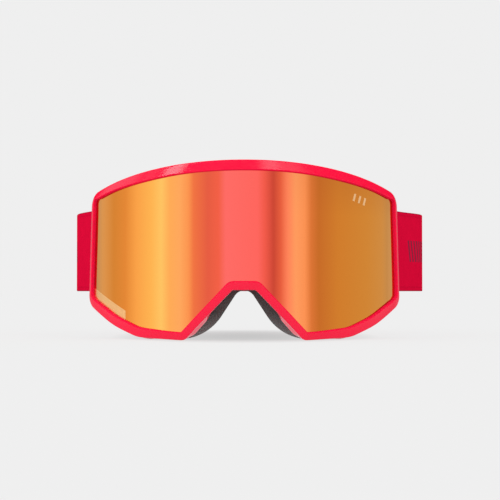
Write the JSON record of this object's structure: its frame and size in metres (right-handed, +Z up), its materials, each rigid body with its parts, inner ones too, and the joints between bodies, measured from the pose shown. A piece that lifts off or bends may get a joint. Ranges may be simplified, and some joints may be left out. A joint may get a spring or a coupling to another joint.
{
  "type": "ski goggles",
  "caption": "Ski goggles with a cylindrical mirrored double lens in a moulded frame, a layered face foam, hinged strap arms and an adjustable elastic head strap.",
  "frame": {"origin": "on the floor, under the middle of the whole object's box", "axes": "+X to the right as seen from the front, +Y from the lens to the wearer, +Z up"},
  "size_m": [0.2124, 0.2186, 0.0981],
  "materials": {
    "front_frame": "glossy moulded, bright red",
    "face_frame": "satin flexible moulding, red",
    "outer_lens": "mirror-coated polycarbonate, coral to amber",
    "inner_lens": "clear tinted sheet",
    "lens_gasket": "closed-cell foam, black",
    "vent_filter": "open-cell foam, black",
    "base_foam": "firm open-cell foam, dark grey",
    "comfort_foam": "soft open-cell foam, dark grey",
    "fleece": "brushed fleece, near black",
    "strap_hardware": "satin black",
    "hinge_pin": "satin",
    "strap_webbing": "woven elastic, red",
    "grip_silicone": "satin, dark grey"
  },
  "bodies": {
    "frame": {"front_frame": "front_frame", "face_frame": "face_frame", "outer_lens": "outer_lens", "inner_lens": "inner_lens", "lens_gasket": "lens_gasket", "top_vent_filter": "vent_filter", "right_low_vent_filter": "vent_filter", "left_low_vent_filter": "vent_filter", "base_foam": "base_foam", "comfort_foam": "comfort_foam", "fleece_lining": "fleece", "left_hinge_pin": "hinge_pin", "right_hinge_pin": "hinge_pin", "rear_strap": "strap_webbing", "left_strap_end": "strap_webbing", "right_strap_end": "strap_webbing", "lower_grip_bead": "grip_silicone", "middle_grip_bead": "grip_silicone", "upper_grip_bead": "grip_silicone"},
    "left_arm": {"left_outrigger": "strap_hardware"},
    "right_arm": {"right_outrigger": "strap_hardware"},
    "left_adjuster": {"left_slider": "strap_hardware"},
    "right_adjuster": {"right_slider": "strap_hardware"}
  },
  "joints": [
    {"name": "left_outrigger_hinge", "type": "hinge", "parent": "frame", "child": "left_arm", "pos_m": [-0.084, -0.05241, 0.05], "axis": [0, 0, 1], "range_deg": [-8, 20], "deforming": ["left_strap_end"]},
    {"name": "right_outrigger_hinge", "type": "hinge", "parent": "frame", "child": "right_arm", "pos_m": [0.084, -0.05241, 0.05], "axis": [0, 0, -1], "range_deg": [-8, 20], "deforming": ["right_strap_end"]},
    {"name": "left_slider_slide", "type": "slide", "parent": "frame", "child": "left_adjuster", "axis": [0.766, 0.6428, 0], "range_m": [-0.01, 0.01], "deforming": ["left_strap_end"]},
    {"name": "right_slider_slide", "type": "slide", "parent": "frame", "child": "right_adjuster", "axis": [-0.766, 0.6428, 0], "range_m": [-0.01, 0.01], "deforming": ["right_strap_end"]}
  ]
}
